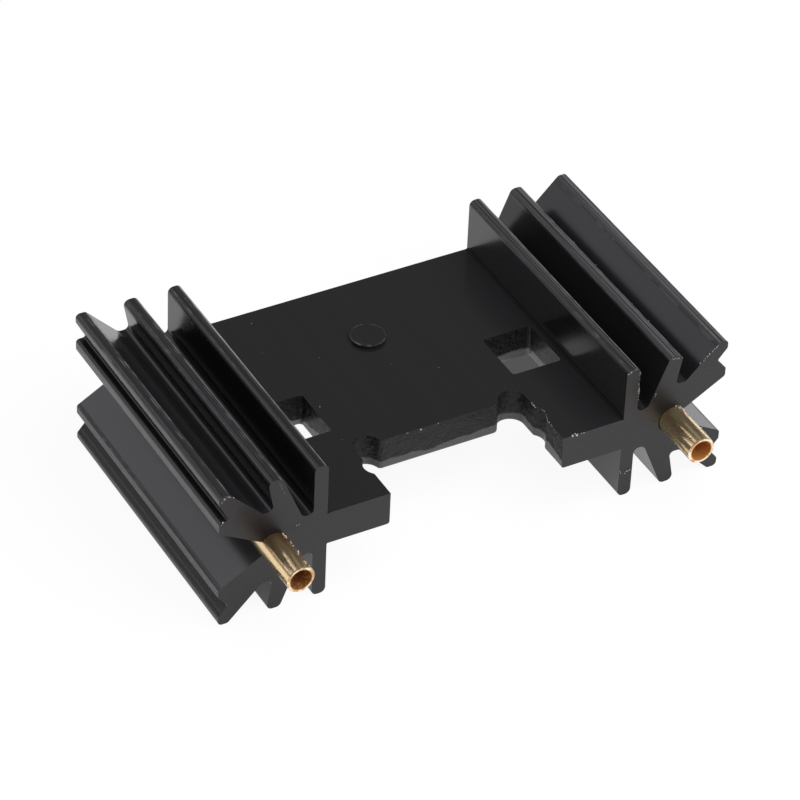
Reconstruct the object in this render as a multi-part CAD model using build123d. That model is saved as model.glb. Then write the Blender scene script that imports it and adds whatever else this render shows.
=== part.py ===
from build123d import *
import os
from math import radians, sqrt, tan

# Clip-on heat sink for a power transistor: a length of star-shaped aluminium extrusion that lies
# across a circuit board on two tubular brass solder pins. Millimetres. X runs across the section,
# Y along the extrusion with the pin tips towards -Y, and Z is up. The part lies on its lower fins.
# The origin is midway between the pin tips and the far sawn end, under the middle of the section.

# Extruded section
section_width = 45.0
section_height = 12.7
web_thickness = 3.0
bay_width = 26.4
bay_corner_radius = 0.12
fin_tip_radius = 0.5

# Inner fins, beside the device bay
inner_fin_thickness = 1.2
inner_groove_width = 0.95
inner_groove_floor = 1.9

# Middle fins, whose tips stand over the pins
middle_fin_tip = 1.22
outer_groove_offset = 0.53
outer_groove_width = 0.95
outer_groove_floor = 3.45
groove_radius = 0.6

# Outer arms with forked tips
arm_tip_flat = 0.85
arm_tip_radius = 0.42
fork_depth = 0.85
fork_mouth = 2.0
fork_tip_radius = 0.3
fork_root_radius = 0.15
upper_left_root_drop = 0.7
upper_left_lobe_rise = 0.27
recess_angle = 60.0

# Pin channels, open to the outside between two lips that the pins rest against
pin_pitch = 35.56
pin_diameter = 2.36
pin_wall = 0.27
channel_opening = 1.3
channel_clearance = 0.03
channel_lip_gap = 0.01
channel_lip_radius = 0.1

# Pins, measured from the sawn end that faces the board. The seated length has a slight taper, so
# that it can be pressed in, and the taper starts just outside the sawn end.
pin_protrusion = 4.5
pin_seat = 8.0
pin_lead_diameter = 2.32
pin_taper_start = 0.2
pin_end_break = 0.06

# Lengthwise sizes, measured from the same sawn end
body_length = 25.4
slot_width = 15.4
slot_depth = 6.08
slot_corner_radius = 0.4
relief_radius = 1.15
nick_distance = 3.6
nick_radius = 1.2
nick_depth = 0.42
nick_corner_radius = 0.35
window_distance = 8.85
window_length = 5.05
window_width = 4.45
window_fin_gap = 0.55
window_corner_radius = 0.3
punch_rollover = 0.25

# Locating pip, pushed up from below into the middle of the web
pip_diameter = 3.0
pip_height = 0.35
pip_edge_radius = 0.12
pip_distance = 18.2

# Places worked out from the sizes above
front = -(body_length - pin_protrusion) / 2
back = front + body_length
hub = pin_pitch / 2
lip_reach = sqrt((pin_diameter / 2 + channel_lip_gap) ** 2 - (channel_opening / 2) ** 2)
lip = Vector(hub + lip_reach, channel_opening / 2)
channel_radius = pin_diameter / 2 + channel_clearance
channel_x = lip.X - sqrt(channel_radius**2 - lip.Y**2)
web_top = web_thickness / 2
web_flat = bay_width - 2 * bay_corner_radius
through = 2 * web_thickness


def turn_between(before, corner, after):
    """The angle in degrees that an outline turns through at a corner."""
    return (corner - before).get_angle(after - corner)


def corner_radii(points, wanted):
    """One radius for each inner corner: the one wanted, or less where a short side leaves no room."""
    radii = []
    for before, corner, after, radius in zip(points, points[1:], points[2:], wanted):
        room = 0.49 * min((corner - before).length, (after - corner).length)
        radii.append(min(radius, room / tan(radians(turn_between(before, corner, after) / 2))))
    return radii


def quarter_section(root_drop=0, lobe_rise=0):
    """The upper right quarter of the section, drawn outwards from the middle of the web. The root
    of the forked tip can be lowered, and the lobe below it raised."""
    bay_wall = bay_width / 2
    fin_back = bay_wall + inner_fin_thickness
    top = section_height / 2
    side = section_width / 2
    groove = hub + outer_groove_offset
    mouth = lip.Y + (side - lip.X) * tan(radians(recess_angle / 2))
    fork = (top + mouth) / 2
    corners = [
        ((bay_wall, web_top), bay_corner_radius),
        ((bay_wall, top), fin_tip_radius),
        ((fin_back, top), fin_tip_radius),
        ((fin_back, inner_groove_floor), groove_radius),
        ((fin_back + inner_groove_width, inner_groove_floor), groove_radius),
        ((hub - middle_fin_tip / 2, top), fin_tip_radius),
        ((hub + middle_fin_tip / 2, top), fin_tip_radius),
        ((groove - outer_groove_width / 2, outer_groove_floor), groove_radius),
        ((groove + outer_groove_width / 2, outer_groove_floor), groove_radius),
        ((side - arm_tip_flat, top), arm_tip_radius),
        ((side, top), arm_tip_radius),
        ((side, fork + fork_mouth / 2), fork_tip_radius),
        ((side - fork_depth, fork - root_drop), fork_root_radius),
        ((side, fork - fork_mouth / 2 + lobe_rise), fork_tip_radius),
        ((side, mouth), fork_tip_radius),
        ((lip.X, lip.Y), 0),
    ]
    points = [Vector(0, web_top)] + [Vector(*place) for place, _ in corners] + [Vector(hub, 0)]
    wanted = [radius for _, radius in corners]
    outline = FilletPolyline(*points, radius=corner_radii(points, wanted))
    closing = Polyline((hub, 0), (0, 0), (0, web_top))
    return make_face(outline + closing)


def section():
    """The whole extruded section with its two open pin channels. Its quarters are mirror images,
    but for the notch in the upper left arm, whose root lies lower over a level lobe."""
    quarter = quarter_section()
    lower = mirror(quarter, Plane.XZ)
    right = quarter + lower
    left = mirror(quarter_section(upper_left_root_drop, upper_left_lobe_rise) + lower, Plane.YZ)
    whole = right + left
    whole -= Pos(channel_x, 0) * Circle(channel_radius)
    whole -= Pos(-channel_x, 0) * Circle(channel_radius)
    lips = [v for v in whole.vertices() if Vector(abs(v.X) - lip.X, abs(v.Y) - lip.Y).length < 0.01]
    return fillet(lips, channel_lip_radius)


def lead_slot():
    """The punched outline between the two legs: slot, a round relief in each corner and two nicks."""
    tongue = front + slot_depth
    half = slot_width / 2
    relief_x = half - relief_radius
    outline = Pos(0, tongue) * Rectangle(slot_width, 2 * slot_depth, align=(Align.CENTER, Align.MAX))
    for sign in (-1, 1):
        outline += Pos(sign * relief_x, tongue) * Circle(relief_radius)
        nick_x = sign * (half + nick_depth - nick_radius)
        outline += Pos(nick_x, front + nick_distance) * Circle(nick_radius)
    tongue_corners = [v for v in outline.vertices() if abs(v.Y - tongue) < 0.01 and abs(v.X) < relief_x]
    outline = fillet(tongue_corners, slot_corner_radius)
    nick_corners = [
        v
        for v in outline.vertices()
        if abs(abs(v.X) - half) < 0.01 and abs(v.Y - front - nick_distance) < nick_radius
    ]
    return fillet(nick_corners, nick_corner_radius)


def clip_window(sign):
    """The rectangular hole beside one inner fin that a spring clip hooks through."""
    middle_x = bay_width / 2 - window_fin_gap - window_width / 2
    middle_y = front + window_distance + window_length / 2
    window = RectangleRounded(window_width, window_length, window_corner_radius)
    return Pos(sign * middle_x, middle_y) * window


def underside_edges(web, outline):
    """The edges that a punched outline leaves in the underside of the web."""
    rim = (Pos(0, 0, -web_top) * outline).edges()
    level = web.edges().filter_by_position(Axis.Z, -web_top - 0.001, -web_top + 0.001)
    return [e for e in level if min(Vertex(e @ 0.5).distance_to(r) for r in rim) < 0.001]


def punched_web():
    """The flat of the web with its slot and windows. The punch comes from below, and rolls each
    edge over where it goes in."""
    web = Pos(0, (front + back) / 2) * Box(web_flat, body_length, web_thickness)
    window_rollover = min(punch_rollover, 0.6 * (window_fin_gap - bay_corner_radius))
    punches = [
        (lead_slot(), punch_rollover),
        (clip_window(-1), window_rollover),
        (clip_window(1), window_rollover),
    ]
    for outline, rollover in punches:
        web -= Pos(0, 0, -through / 2) * extrude(outline, amount=through)
        web = fillet(underside_edges(web, outline), rollover)
    return web


def heat_sink_body():
    """The sawn extrusion. Its web is made apart, so that the rolled edges never meet the fins."""
    sides = section() - Rectangle(web_flat, web_thickness)
    return half_shear_pip(extrude(Plane.XZ.offset(-back) * sides, amount=body_length) + punched_web())


def half_shear_pip(body):
    """Raises the round pip on the web and leaves the matching recess underneath."""
    place = Pos(0, front + pip_distance)
    disc = extrude(Circle(pip_diameter / 2), amount=web_top + pip_height)
    disc = fillet(disc.edges().filter_by(GeomType.CIRCLE).sort_by(Axis.Z)[-1], pip_edge_radius)
    recess = Pos(0, 0, -web_top) * extrude(Circle(pip_diameter / 2), amount=pip_height)
    return body + place * disc - place * recess


def solder_pin(sign):
    """A tube pressed into one channel: straight where it is free, tapered where it is seated, and
    with its sharp rims broken."""
    free = pin_diameter / 2
    lead = pin_lead_diameter / 2
    tip = front - pin_protrusion
    taper = front - pin_taper_start
    inner_end = front + pin_seat
    wall = Polyline(
        (free - pin_wall, tip),
        (free, tip),
        (free, taper),
        (lead, inner_end),
        (lead - pin_wall, inner_end),
        (free - pin_wall, taper),
        close=True,
    )
    pin = revolve(make_face(wall), Axis.Y)
    ends = pin.edges().filter_by(GeomType.CIRCLE).group_by(Axis.Y)
    rims = [ends[i].sort_by(SortBy.RADIUS)[-1] for i in (0, -1)]
    return Pos(sign * hub, 0) * chamfer(rims, pin_end_break)


os.makedirs("parts", exist_ok=True)
middle_height = Pos(0, 0, section_height / 2)
pieces = {
    "heat_sink_body": heat_sink_body(),
    "left_solder_pin": solder_pin(-1),
    "right_solder_pin": solder_pin(1),
}
for name, piece in pieces.items():
    export_step(middle_height * piece, f"parts/{name}.step")
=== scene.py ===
# %% [markdown]
# # A clip-on transistor heat sink
# The real part is a short length of black anodised aluminium extrusion with two brass tube pins.
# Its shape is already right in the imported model, so this file gives it what a solid model lacks:
# the satin of the extruded faces, the saw and punch marks, the burrs, the brass and the light.

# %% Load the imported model
from math import cos, radians, sin
from random import Random

import bmesh
import bpy
from mathutils import Euler, Matrix, Vector


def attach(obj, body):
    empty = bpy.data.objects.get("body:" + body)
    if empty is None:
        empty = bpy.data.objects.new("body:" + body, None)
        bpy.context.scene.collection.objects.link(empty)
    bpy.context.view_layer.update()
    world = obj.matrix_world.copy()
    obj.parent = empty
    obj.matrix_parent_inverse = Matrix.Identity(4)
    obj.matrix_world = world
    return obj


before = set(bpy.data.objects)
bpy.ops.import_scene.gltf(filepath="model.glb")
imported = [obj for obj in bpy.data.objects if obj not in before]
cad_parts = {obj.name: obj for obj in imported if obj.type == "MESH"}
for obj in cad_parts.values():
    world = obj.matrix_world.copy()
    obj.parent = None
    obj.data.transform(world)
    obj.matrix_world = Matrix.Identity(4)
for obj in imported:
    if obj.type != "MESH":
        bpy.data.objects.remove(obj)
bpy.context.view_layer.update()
print("nodes:", sorted(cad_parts))

# %% [markdown]
# ## The sizes that the finishes need
# Every object is in metres, with X across the fins, Y along the extrusion and Z up. The finishes
# are easier to write in millimetres, so the places where the saw and the punch cut are given in
# those. The web is the flat strip between the two groups of fins, the tongue is the part of it
# that ends between the two legs, and the pip is the low round boss on it.

# %% Places on the part, in millimetres
front_end, back_end = -10.45, 14.95
fin_top = 12.7
middle_height = fin_top / 2
web_low, web_high = 4.85, 7.85
arm_side = 22.5
bay_half = 13.2
slot_half = 7.7
tongue_end = -4.37
pip_y, pip_radius = 7.75, 1.5
pin_x, pin_radius, pin_bore = 17.78, 1.18, 0.91
print("length of the extrusion:", round(back_end - front_end, 2), "mm")

# %% [markdown]
# ## Shader maths as Python expressions
# A procedural finish is arithmetic on numbers that change over the surface. The class below wraps
# one socket, so that `1 - mask * 0.5` adds the Math nodes by itself. Any other node comes from one
# method, which takes its type, its settings and the values or links of its sockets.


# %% One wrapped socket
class Signal:
    """One output of a node. Arithmetic on it adds Math nodes to the same material."""

    def __init__(self, tree, socket=None):
        self.tree = tree
        self.socket = socket

    def node(self, kind, settings, values, output=0):
        made = self.tree.nodes.new(kind)
        for name, value in settings.items():
            setattr(made, name, value)
        for name, value in values.items():
            if isinstance(value, Signal):
                self.tree.links.new(value.socket, made.inputs[name])
            else:
                made.inputs[name].default_value = value
        return Signal(self.tree, made.outputs[output] if made.outputs else None)

    def math(self, operation, *values):
        return self.node("ShaderNodeMath", {"operation": operation}, dict(enumerate(values)))

    def __add__(self, other):
        return self.math("ADD", self, other)

    __radd__ = __add__

    def __sub__(self, other):
        return self.math("SUBTRACT", self, other)

    def __rsub__(self, other):
        return self.math("SUBTRACT", other, self)

    def __mul__(self, other):
        return self.math("MULTIPLY", self, other)

    __rmul__ = __mul__

    def __pow__(self, other):
        return self.math("POWER", self, other)

    def __abs__(self):
        return self.math("ABSOLUTE", self)

    def __gt__(self, other):
        return self.math("GREATER_THAN", self, other)

    def __lt__(self, other):
        return self.math("LESS_THAN", self, other)


print("operators ready")

# %% [markdown]
# ## Words for the finishes
# A few short helpers say what a maker would say. `rise` goes softly from 0 to 1 between two
# values, `grain` is noise whose scale is set for each direction in marks per millimetre, `either`
# joins two masks, and `blend` goes from one colour to another. All of them read Object
# coordinates, so a mark stays on the metal from every side.


# %% Helpers for a surface
def rise(value, low, high):
    return value.node(
        "ShaderNodeMapRange",
        {"interpolation_type": "SMOOTHSTEP"},
        {"Value": value, "From Min": low, "From Max": high},
    )


def either(first, second):
    return first.math("MAXIMUM", first, second)


def grain(place, per_mm, detail=2.0, roughness=0.5):
    scaled = place.node("ShaderNodeVectorMath", {"operation": "MULTIPLY"}, {0: place, 1: per_mm})
    values = {"Vector": scaled, "Scale": 1.0, "Detail": detail, "Roughness": roughness}
    return place.node("ShaderNodeTexNoise", {"noise_dimensions": "3D"}, values)


def blend(mask, first, second):
    colours = {
        6: first if isinstance(first, Signal) else (*first, 1.0),
        7: second if isinstance(second, Signal) else (*second, 1.0),
    }
    return mask.node("ShaderNodeMix", {"data_type": "RGBA"}, {0: mask, **colours}, output=2)


def bump(height, distance_mm, under=None):
    values = {"Height": height, "Distance": distance_mm / 1000, "Strength": 1.0}
    if under:
        values["Normal"] = under
    return height.node("ShaderNodeBump", {}, values)


def start_finish(name):
    """A new material, the place on its surface in millimetres, and the facing of its surface."""
    material = bpy.data.materials.new(name)
    material.use_nodes = True
    start = Signal(material.node_tree)
    place = start.node("ShaderNodeTexCoord", {}, {}, output="Object")
    place = place.node("ShaderNodeVectorMath", {"operation": "SCALE"}, {0: place, "Scale": 1000.0})
    facing = start.node("ShaderNodeNewGeometry", {}, {}, output="Normal")
    return material, place, facing


def axes_of(vector):
    return [vector.node("ShaderNodeSeparateXYZ", {}, {0: vector}, output=i) for i in range(3)]


def finish_with(material, **values):
    """Sets the shader's own sockets, or links what changes over the surface."""
    tree = material.node_tree
    shader = tree.nodes["Principled BSDF"]
    for name, value in values.items():
        socket = shader.inputs[name.replace("_", " ")]
        if isinstance(value, Signal):
            tree.links.new(value.socket, socket)
        else:
            socket.default_value = value
    print("finish:", material.name, len(tree.nodes), "nodes")
    return material


print("helpers ready")

# %% [markdown]
# ## Black anodised aluminium: where each tool has been
# One dye bath blackens the whole extrusion, but three tools cut it first, and each leaves its own
# surface. The die draws lines along Y. The saw leaves the ends matt. The punch leaves a smooth
# band low on the walls of the slot and windows, and torn metal above it, with pits where the metal
# gave way. The pits are painted near black as painted shade. A material for each of these would
# need cuts in the mesh. Masks from the place and the facing tell them apart without any, so that
# one material covers the solid.

# %% Masks for the saw and the punch
black, place, facing = start_finish("black anodised aluminium")
x, y, z = axes_of(place)
across, along, upward = axes_of(facing)

middle_y = (front_end + back_end) / 2
half_length = (back_end - front_end) / 2
half_web = (web_high - web_low) / 2
sawn = rise(abs(along), 0.9, 0.99) * (abs(y - middle_y) > half_length - 0.02)
in_web = (abs(z - middle_height) < half_web - 0.01) * (abs(x) < bay_half - 0.2)
punched = in_web * (1 - rise(abs(upward), 0.3, 0.6)) * (1 - sawn)

wave = grain(place, (0.3, 0.3, 0.0), detail=1.0)
ragged = grain(place, (2.6, 2.6, 0.0), detail=3.0)
in_windows = rise(y, tongue_end + 1.0, tongue_end + 2.0)
tear_height = z - web_low - wave * 1.3 - ragged * 0.3
torn = punched * rise(tear_height, -0.08, 0.12)
# Painted shade: the pits are coloured near black, as the shade inside a hole would be.
pit_shade = punched * (1 - rise(abs(tear_height - 0.08), 0.02, 0.12)) * rise(ragged, 0.5, 0.58)
print("masks for the saw and the punch ready")

# %% [markdown]
# ## Black anodised aluminium: wear, painted highlights and painted shade
# Handling rubs the tips of the fins and arms. The crests of the tips, which face up, and the edge
# of the pip are masked for a painted highlight. The tight corners beside the inner fins are masked
# for painted shade. A distance from each of these places is enough to mask it, because the section
# is the same all the way along Y.

# %% Masks for wear, painted highlights and painted shade
near_top = rise(abs(z - middle_height), middle_height - 0.5, middle_height - 0.35)
near_side = rise(abs(x), arm_side - 0.35, arm_side - 0.2)
tips = either(near_top * (1 - in_web), near_side) * (1 - sawn)
crest = tips * rise(upward, 0.88, 0.97)

# Painted shade: the tight corner beside each inner fin, just above the web, is coloured near black.
above_web = rise(z, web_high - 0.05, web_high - 0.02)
above_web = above_web * (1 - rise(z, web_high + 0.12, web_high + 0.2))
beside_fin = rise(abs(x), bay_half - 0.2, bay_half - 0.12) * (abs(x) < bay_half + 0.01)
corner_shade = above_web * beside_fin

from_pip = (abs(x) ** 2.0 + abs(y - pip_y) ** 2.0) ** 0.5
pip_edge = rise(from_pip, pip_radius - 0.14, pip_radius - 0.08) * (from_pip < pip_radius + 0.02)
pip_edge = pip_edge * rise(z, web_high + 0.18, web_high + 0.28)
print("masks for wear ready")

# %% [markdown]
# ## Black anodised aluminium: patterns
# The die, the saw and the tear leave patterns that differ only in direction and grain, so all of
# them are the same noise. Few marks per millimetre along one axis draw it out into lines: along Y
# for the die, and along X for the saw.

# %% Patterns on the extrusion
die_lines = grain(place, (9.0, 0.03, 9.0), detail=3.0)
broad_lines = grain(place, (1.6, 0.01, 1.6), detail=1.0)
saw_lines = grain(place, (0.45, 1.0, 12.0), detail=3.0)
tearing = grain(place, (1.7, 1.7, 1.4), detail=4.0, roughness=0.6)
patches = grain(place, (1.5, 0.7, 1.5))
streaks = rise(die_lines, 0.42, 0.58)
print("patterns ready")

# %% [markdown]
# ## Black anodised aluminium: colour
# Dyed oxide is nearly black, so its tones differ by hundredths. They are laid over each other as a
# painter would, each through its mask: the extruded faces first, then the saw and the punch, and
# last the wear and the painted light. The smooth band is pale, and painted paler in the windows as
# a painted reflection of the paper below them. The wear is pale metal that shows through in broken
# lines on the tips. The crests that face up, more so towards the right, the rim on the right of
# each tip and the edge of the pip get painted highlights. The tight corners and the pits get
# painted shade.

# %% Colour of the extrusion
# Painted highlight on the crests that face up, broken by the die lines and brighter to the right.
crest_highlight = crest * streaks * (0.12 + rise(x, -10.0, 22.0) * 0.88)
rubbed_tips = tips * rise(die_lines, 0.56, 0.66) * rise(patches, 0.5, 0.62)
# Painted highlight on the edge of the pip, broken in patches.
pip_edge_highlight = pip_edge * rise(patches, 0.4, 0.6)
# Painted highlight along the rounding on the right of each tip, broken in patches.
rim_highlight = tips * rise(across, 0.3, 0.42) * (1 - rise(across, 0.56, 0.66))
rim_highlight = rim_highlight * rise(patches + die_lines, 0.85, 1.15)

extruded_tone = blend(broad_lines, (0.0098, 0.0096, 0.0105), (0.0122, 0.012, 0.013))
sawn_tone = blend(saw_lines, (0.004, 0.0036, 0.0042), (0.011, 0.0098, 0.0118))
# The smooth band is pale; in the windows it is painted paler, as a painted reflection of the paper
# below them.
smooth_tone = blend(in_windows, (0.031, 0.0306, 0.032), (0.16, 0.158, 0.16))
torn_tone = blend(tearing, (0.004, 0.004, 0.0041), (0.018, 0.0177, 0.018))
# Near black, for the painted shade in the tight corners and the pits.
shade_tone = (0.001, 0.001, 0.001)

tone = extruded_tone
for mask, over in [
    (corner_shade, shade_tone),
    (crest_highlight, (0.09, 0.088, 0.092)),
    (sawn, sawn_tone),
    (punched, smooth_tone),
    (torn, torn_tone),
    (pit_shade, shade_tone),
    # Pale wear on the tips, and the painted highlight on the pip's edge.
    (either(rubbed_tips * 0.7, pip_edge_highlight * 0.6), (0.14, 0.14, 0.145)),
    (rim_highlight * 0.6, (0.25, 0.25, 0.26)),
]:
    tone = blend(mask, tone, over)
print("colour ready")

# %% [markdown]
# ## Black anodised aluminium: gloss
# What the eye reads in a black part is its reflections. The extruded faces are satin, and the
# sawn, torn and streaked ones are rougher. Clear oxide lies over the dye like varnish, which is
# what Coat Weight is for. A coat doubles every reflection, though, and would light the dark
# grooves, so only the lower half and the outer sides have it in full. It is thin on the rubbed
# tips and strong on the smooth band of the punch. In the torn metal some of the shader is metal:
# its reflections take on the dark tone, and that dulls them.

# %% Gloss of the extrusion
worked = either(either(sawn, punched), tips)
roughness = (0.19 + broad_lines * 0.03) * (1 - worked) + (0.2 + streaks * 0.22) * tips
roughness = roughness + (0.3 + saw_lines * 0.12) * sawn + corner_shade * 0.5
roughness = roughness + (0.27 + torn * (0.08 + tearing * 0.32)) * punched

lower_half = 1 - rise(z, 6.0, 8.0)
outer_side = rise(abs(x), arm_side - 0.3, arm_side - 0.1)
burnished = punched * in_windows * rise(across * -1, 0.6, 0.9)
coat = either(lower_half, outer_side) * (1 - worked) * 0.55 + tips * 0.12
coat = coat + (punched - torn) * 0.5 + burnished * 0.5
dulling = torn * 0.35 * (1 - burnished)
print("gloss ready")

# %% [markdown]
# ## Black anodised aluminium: relief
# The lines of the die and the saw are only some hundredths of a millimetre deep, and the torn
# metal a few tenths. As geometry they would take millions of faces, so each is a Bump node that
# hands its result to the next one.

# %% Relief of the extrusion, and the whole finish
relief = bump(die_lines * tips, 0.03)
relief = bump(saw_lines * sawn, 0.012, under=relief)
relief = bump(tearing * torn, 0.3, under=relief)

finish_with(
    black,
    Base_Color=tone,
    Roughness=roughness,
    Normal=relief,
    Metallic=dulling,
    Coat_Weight=coat,
    Coat_Roughness=0.17,
)

# %% [markdown]
# ## Drawn brass
# The pins are short pieces of drawn brass tube. Drawing leaves faint lines along the tube and
# specks in its skin, and cutting leaves a ring at the end that is pale in patches. Handling leaves
# brown tarnish. Near the root the brown is laid on thicker as painted shade, where the pin mirrors
# the dark end of the part, but not on the side that faces left. The bore stays dull and brown where
# no tool polished it, and the left pin's bore is painted darker than the right one's as painted
# shade. The distance from the nearest pin's own axis tells the bore apart.

# %% The pins' finish
brass, place, facing = start_finish("bright brass")
x, y, z = axes_of(place)
across, along, _ = axes_of(facing)

from_axis = ((abs(x) - pin_x) ** 2.0 + abs(z - middle_height) ** 2.0) ** 0.5
bore = 1 - rise(from_axis, pin_bore + 0.03, pin_bore + 0.08)
cut_end = rise(abs(along), 0.5, 0.8)
# Painted shade: darker near the root, where the pin mirrors the dark end of the part, except on the
# side that faces left.
root_shade = rise(y, front_end - 2.4, front_end - 0.3) * rise(across, -0.8, -0.5)
drawn_lines = grain(place, (9.0, 0.12, 9.0), detail=3.0)
specks = grain(place, (7.0, 4.0, 7.0), detail=1.5)
patches = rise(grain(place, (1.3, 1.3, 1.3)), 0.4, 0.55)
# Tarnish at random, and the painted shade near the root.
tarnish_and_root_shade = rise(grain(place, (0.8, 0.4, 0.8), detail=1.0), 0.34, 0.6) * (0.15 + root_shade * 0.6)

drawn_tone = blend(drawn_lines, (0.92, 0.6, 0.25), (1.0, 0.88, 0.61))
ring_tone = blend(patches, (0.62, 0.36, 0.16), (1.0, 0.9, 0.72))
# Painted shade: the left pin's bore is darker than the right one's.
bore_tone = blend(rise(x, -1.0, 1.0), (0.5, 0.22, 0.07), (0.8, 0.4, 0.12))
bore_tone = blend(rise(specks, 0.56, 0.66), bore_tone, (0.95, 0.62, 0.25))
brass_tone = blend(tarnish_and_root_shade, drawn_tone, (0.42, 0.15, 0.07))
brass_tone = blend(cut_end, brass_tone, ring_tone)
brass_tone = blend(bore, brass_tone, bore_tone)
polish = 0.15 + rise(specks, 0.45, 0.6) * 0.12 + cut_end * 0.1
polish = polish * (1 - bore) + 0.5 * bore

finish_with(
    brass,
    Base_Color=brass_tone,
    Roughness=polish,
    Normal=bump(drawn_lines * 0.1 + specks, 0.0028),
    Metallic=0.92 - bore * 0.27,
)

# %% [markdown]
# ## Dressing the solids
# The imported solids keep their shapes. Each one only gets its finish in its material slots.

# %% Give the solids their finishes
for name, finish in [
    ("heat_sink_body", black),
    ("left_solder_pin", brass),
    ("right_solder_pin", brass),
]:
    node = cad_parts[name]
    if not node.material_slots:
        node.data.materials.append(finish)
    for slot in node.material_slots:
        slot.material = finish
    print(name, "wears", finish.name)

# %% [markdown]
# ## Bare metal
# Where an edge was chipped after dyeing, bright aluminium shows. It is rough and uneven, so its
# reflections sparkle. A slip of brass does the same on the pins.


# %% Finishes for the flakes
def flake_finish(name, dark, light):
    material, place, _ = start_finish(name)
    mottle = grain(place, (12.0, 12.0, 12.0), detail=2.0)
    tone = blend(mottle, dark, light)
    return finish_with(material, Base_Color=tone, Roughness=0.25 + mottle * 0.2, Metallic=0.6)


bare_aluminium = flake_finish("bare aluminium", (0.55, 0.55, 0.56), (0.92, 0.92, 0.93))
bare_brass = flake_finish("bare brass", (0.85, 0.72, 0.55), (1.0, 0.95, 0.86))

# %% [markdown]
# ## Burrs and chips
# The saw drags flakes of metal over the edges of the fins, and the punch leaves others along the
# top of the slot. Each is a tiny bent scale. They could be noise in the material, but an edge that
# catches the light needs real form, so every flake is an icosphere, flattened, turned and dented
# at random from a fixed seed. A run of flakes goes along one edge, from one point to another.


# %% A run of flakes
def add_flakes(shape, dice, start, end, count, size, length=1.0):
    """Adds flakes from one point to another, in millimetres. A `length` above 1 draws them out."""
    start = Vector(start)
    way = Vector(end) - start
    stretch = way.to_track_quat("X", "Z").to_matrix().to_4x4()
    for step in range(count):
        share = (step + dice.uniform(0.1, 0.9)) / count
        shake = Vector([dice.uniform(-0.3, 0.3) * size for _ in range(3)])
        scale = Vector([dice.uniform(0.3, 1.0) * size * k for k in (length, 0.6, 0.5)])
        lean = Euler([dice.uniform(-0.6, 0.6) for _ in range(3)]).to_matrix().to_4x4()
        place = Matrix.Translation((start + way * share + shake) / 1000)
        form = Matrix.Diagonal((*(scale / 2000), 1.0))
        made = bmesh.ops.create_icosphere(
            shape, subdivisions=2, radius=1.0, matrix=place @ stretch @ lean @ form
        )
        for vert in made["verts"]:
            vert.co += Vector([dice.uniform(-0.12, 0.12) * size / 1000 for _ in range(3)])


def flake_piece(name, finish, seed, runs):
    """One piece that holds the flakes of several runs. A run has its two ends, the number of its
    flakes, their size and, where they are drawn out, their length."""
    dice = Random(seed)
    shape = bmesh.new()
    for run in runs:
        add_flakes(shape, dice, *run)
    bmesh.ops.recalc_face_normals(shape, faces=shape.faces)
    mesh = bpy.data.meshes.new(name)
    shape.to_mesh(mesh)
    shape.free()
    mesh.materials.append(finish)
    piece = bpy.data.objects.new(name, mesh)
    bpy.context.scene.collection.objects.link(piece)
    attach(piece, "root")
    print(name, len(mesh.polygons), "faces")


print("flakes ready to place")

# %% [markdown]
# ## Chips along the slot
# The punch tore three small chips from the top edge of the tongue, and scraped the right wall of
# the slot and its nick. The runs follow those edges, just at the top of the web.

# %% Flakes on the punched edges
chip_z = web_high - 0.1
flake_piece(
    "slot_edge_flakes",
    bare_aluminium,
    seed=3,
    runs=[
        ((-3.0, tongue_end, chip_z), (-2.9, tongue_end, chip_z), 1, 0.2),
        ((-1.8, tongue_end, chip_z), (-1.7, tongue_end, chip_z), 1, 0.22),
        ((-0.2, tongue_end, chip_z), (-0.1, tongue_end, chip_z), 1, 0.2),
        ((slot_half, -5.3, web_high), (slot_half, -6.1, web_high), 6, 0.15),
        ((8.0, -6.3, web_high), (8.1, -7.0, web_high), 4, 0.09),
        ((8.1, -7.0, web_high), (7.75, -7.9, web_high), 5, 0.1),
        ((slot_half, -7.8, web_high), (slot_half, -8.7, web_high), 6, 0.13),
        ((slot_half, -8.7, chip_z), (slot_half, -9.8, web_high - 0.2), 5, 0.09, 1.5),
    ],
)

# %% [markdown]
# ## Burrs on the sawn end
# The saw leaves its burrs where it comes out of the metal, so they hang on the edges of the front
# end, more of them on the right. All of the runs lie in one plane, a hair in front of the cut.

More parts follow.
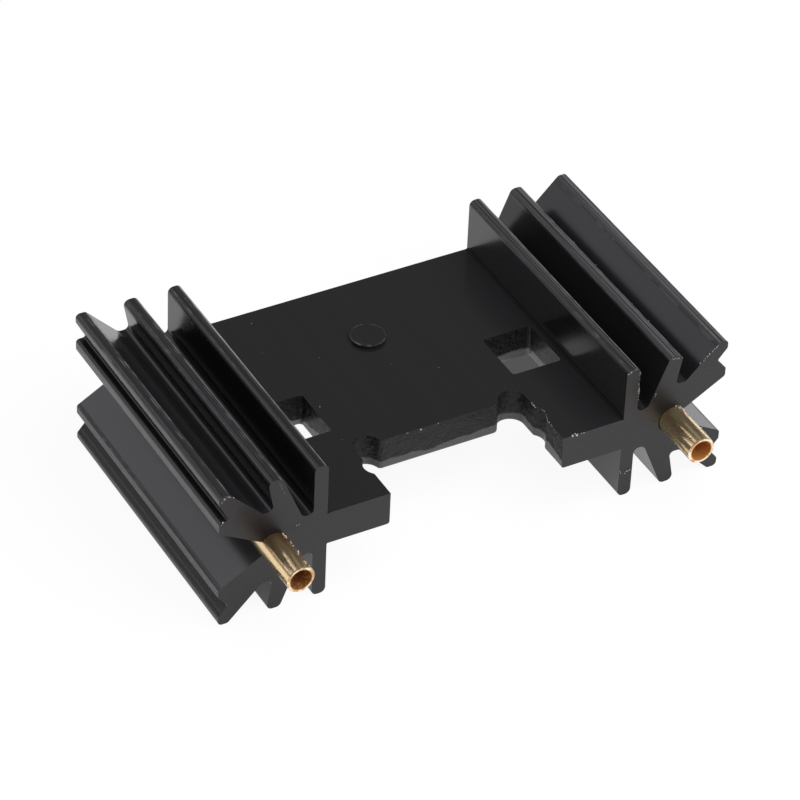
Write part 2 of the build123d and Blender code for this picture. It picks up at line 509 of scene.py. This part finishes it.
# %% Flakes on the sawn edges
burr_y = front_end - 0.02
flake_piece(
    "sawn_edge_flakes",
    bare_aluminium,
    seed=8,
    runs=[
        ((8.4, burr_y, web_high), (8.9, burr_y, web_high), 4, 0.26),
        ((9.0, burr_y, web_high), (9.7, burr_y, web_high), 4, 0.12),
        ((-22.4, burr_y, 12.1), (-21.9, burr_y, 12.6), 5, 0.16),
        ((-21.9, burr_y, 12.6), (-21.3, burr_y, 12.4), 4, 0.14),
        ((-22.3, burr_y, 10.0), (-22.2, burr_y, 10.3), 2, 0.16),
        ((13.25, burr_y, 2.6), (13.3, burr_y, 2.3), 2, 0.12),
        ((13.6, burr_y, 2.2), (14.2, burr_y, 2.5), 4, 0.14, 1.6),
        ((14.35, burr_y, 12.3), (14.4, burr_y, 9.4), 9, 0.14),
        ((14.4, burr_y, 10.4), (14.4, burr_y, 10.3), 1, 0.28),
        ((13.25, burr_y, 12.4), (14.1, burr_y, 12.6), 6, 0.13),
        ((17.25, burr_y, 12.5), (18.2, burr_y, 12.4), 6, 0.14),
        ((15.95, burr_y, 9.2), (16.05, burr_y, 9.5), 2, 0.14),
        ((19.9, burr_y, 11.1), (21.6, burr_y, 12.55), 12, 0.12, 1.6),
        ((-17.4, burr_y, 12.3), (-16.9, burr_y, 11.0), 5, 0.1),
        ((-16.05, burr_y, 7.7), (-15.5, burr_y, 7.6), 3, 0.1, 1.5),
        ((18.0, burr_y, 7.6), (18.5, burr_y, 7.4), 5, 0.16),
    ],
)

# %% [markdown]
# ## Dust
# A few specks of the same metal lie on the web and on the tips of the fins. A long run with few
# flakes scatters them, and a length of 2 draws those on the tips out along the fin.

# %% Dust on the web and the fins
flake_piece(
    "dust_specks",
    bare_aluminium,
    seed=5,
    runs=[
        ((-7.8, 1.4, web_high), (-7.6, 1.4, web_high), 1, 0.14),
        ((-8.1, -3.0, web_high), (-8.0, -3.0, web_high), 1, 0.12),
        ((-7.6, 13.5, web_high), (-7.5, 13.5, web_high), 1, 0.1),
        ((-9.0, 10.0, web_high), (9.0, -2.0, web_high), 5, 0.07),
        ((-21.9, 8.0, fin_top - 0.1), (-21.9, -8.0, fin_top - 0.1), 5, 0.08, 2.0),
        ((-17.3, 9.0, fin_top - 0.1), (-17.3, -8.0, fin_top - 0.1), 5, 0.08, 2.0),
        ((14.25, 10.0, fin_top - 0.15), (14.25, -8.0, fin_top - 0.15), 4, 0.07, 2.0),
        ((18.2, 10.0, fin_top - 0.15), (18.2, -8.0, fin_top - 0.15), 4, 0.07, 2.0),
    ],
)

# %% [markdown]
# ## Slips of brass
# The press that seats a pin scrapes it along the edge of its channel, and leaves bright slips on
# the side that faces up and to the right. They lie on the tube's own curve, so their place comes
# from an angle round the pin and a distance along it.


# %% Flakes on the pins
def on_pin(side, angle, along_y):
    """A point on the pin at side -1 or 1, at an angle in degrees from +X towards +Z."""
    reach = pin_radius + 0.02
    return (
        side * pin_x + reach * cos(radians(angle)),
        along_y,
        middle_height + reach * sin(radians(angle)),
    )


flake_piece(
    "brass_slips",
    bare_brass,
    seed=11,
    runs=[
        (on_pin(-1, 56, -10.6), on_pin(-1, 50, -11.0), 5, 0.26),
        (on_pin(-1, 50, -11.5), on_pin(-1, 48, -12.2), 5, 0.18, 1.4),
        (on_pin(-1, 46, -12.7), on_pin(-1, 58, -13.3), 6, 0.24),
        (on_pin(-1, 60, -14.0), on_pin(-1, 48, -14.7), 7, 0.22),
        (on_pin(1, 68, -10.55), on_pin(1, 52, -10.9), 7, 0.26),
        (on_pin(1, 50, -11.0), on_pin(1, 46, -14.6), 14, 0.15, 1.4),
    ],
)

# %% [markdown]
# ## The floor
# The picture is a product shot on white paper. Paper lit until it is white would flood the part
# with light, so the paper mixes in white of its own instead, by Light Path. The camera sees it
# nearly white. Reflections see about half of that, because the real paper is shaded under the
# part. The rest is plain paper, which keeps a soft shadow.

# %% Floor
bpy.ops.mesh.primitive_plane_add(size=4.0, location=(0.0, 0.0, -0.00002))
floor = bpy.context.object
floor.name = "paper_floor"

paper = bpy.data.materials.new("white paper")
paper.use_nodes = True
paper.node_tree.nodes.clear()
start = Signal(paper.node_tree)
seen = start.node("ShaderNodeLightPath", {}, {}, output="Is Camera Ray")
mirrored = start.node("ShaderNodeLightPath", {}, {}, output="Is Glossy Ray")
through = start.node("ShaderNodeLightPath", {}, {}, output="Is Transmission Ray")
plain = start.node("ShaderNodeBsdfDiffuse", {}, {"Color": (0.9, 0.9, 0.9, 1.0)})
white = start.node("ShaderNodeEmission", {}, {"Color": (1.0, 1.0, 1.0, 1.0), "Strength": 1.0})
white_share = seen * 0.93 + (mirrored + through) * 0.45
paper_look = start.node("ShaderNodeMixShader", {}, {0: white_share, 1: plain, 2: white})
start.node("ShaderNodeOutputMaterial", {}, {"Surface": paper_look})
floor.data.materials.append(paper)
print("floor ready")

# %% [markdown]
# ## The world
# A black part hardly shows its own colour. Its faces show the white paper and horizon, or the dark
# ceiling of the studio. So the world is white at the horizon, a little more so on the right, and
# dim above it, and the camera still sees plain white behind the part.

# %% World
world = bpy.data.worlds.new("white horizon")
bpy.context.scene.world = world
world.use_nodes = True
world.node_tree.nodes.clear()
start = Signal(world.node_tree)
direction = start.node("ShaderNodeTexCoord", {}, {}, output="Generated")
rightward, _, skyward = axes_of(direction)
ceiling = rise(skyward, -0.02, 0.1)
horizon_level = 1.0 + rightward * 0.3
ceiling_level = 0.19
seen = start.node("ShaderNodeLightPath", {}, {}, output="Is Camera Ray")
level = ((1 - ceiling) * horizon_level + ceiling * ceiling_level) * (1 - seen) + seen
sky = start.node("ShaderNodeBackground", {}, {"Color": (1.0, 1.0, 1.0, 1.0), "Strength": level})
start.node("ShaderNodeOutputWorld", {}, {"Surface": sky})
print("world ready")

# %% [markdown]
# ## Soft boxes
# A soft box is an area lamp. Its place is easiest as the two angles of a compass and a quadrant:
# degrees from straight behind the part, and degrees up. The weak box behind the part, on the left,
# is there for its reflection. The overhead box only lights the paper and the dye. It is kept out
# of reflections, because in them it would turn the black faces grey.


# %% Lamps
def soft_box(name, azimuth, elevation, width, height, radiance, tint=(1.0, 1.0, 1.0)):
    """An area lamp 0.9 m away that faces the part. Its sides are given in degrees, and its energy
    is its radiance times four times its area."""
    away = 0.9
    lamp = bpy.data.lights.new(name, "AREA")
    lamp.shape = "RECTANGLE"
    lamp.size = away * radians(width)
    lamp.size_y = away * radians(height)
    lamp.energy = radiance * 4 * lamp.size * lamp.size_y
    lamp.color = tint
    box = bpy.data.objects.new(name, lamp)
    bpy.context.scene.collection.objects.link(box)
    turn, lift = radians(azimuth), radians(elevation)
    toward = Vector((sin(turn) * cos(lift), cos(turn) * cos(lift), sin(lift)))
    box.location = toward * away
    box.rotation_euler = toward.to_track_quat("Z", "Y").to_euler()
    print("lamp", name, "at", [round(v, 2) for v in box.location])
    return box


soft_box("left rear box", -30, 32, 44, 34, 0.6, tint=(1.0, 0.97, 1.05))
overhead = soft_box("overhead box", 150, 60, 70, 70, 2.6)
overhead.visible_glossy = False

# %% [markdown]
# ## The camera
# The viewing angle was worked out from the picture: the camera stands about a third of a metre
# away, 38 degrees above the floor and 30 degrees to the left of the sawn end, and leans a little.
# A long lens keeps the fins almost parallel, as they are there. The frame is centred by a small
# slide of the camera, so that it needs no lens shift.

# %% Camera
azimuth, elevation, lean = radians(-30.076), radians(38.084), radians(2.605)
distance = 0.33996
aim = Vector((0.0, 0.00225, 0.00635))
slide_right, slide_up = -0.000045, 0.000769

back = Vector((sin(azimuth) * cos(elevation), -cos(azimuth) * cos(elevation), sin(elevation)))
level_right = Vector((cos(azimuth), sin(azimuth), 0.0))
level_up = back.cross(level_right)
right = cos(lean) * level_right + sin(lean) * level_up
up = -sin(lean) * level_right + cos(lean) * level_up
stand = aim - slide_right * right - slide_up * up + distance * back
turn = Matrix((right, up, back)).transposed().to_4x4()

lens = bpy.data.cameras.new("camera")
lens.lens = 191.3
lens.sensor_width = 36.0
lens.clip_start = 0.01
camera = bpy.data.objects.new("camera", lens)
bpy.context.scene.collection.objects.link(camera)
camera.matrix_world = Matrix.Translation(stand) @ turn
bpy.context.scene.camera = camera
bpy.context.scene.view_settings.view_transform = "Standard"
print("camera at", [round(v, 3) for v in camera.matrix_world.translation])
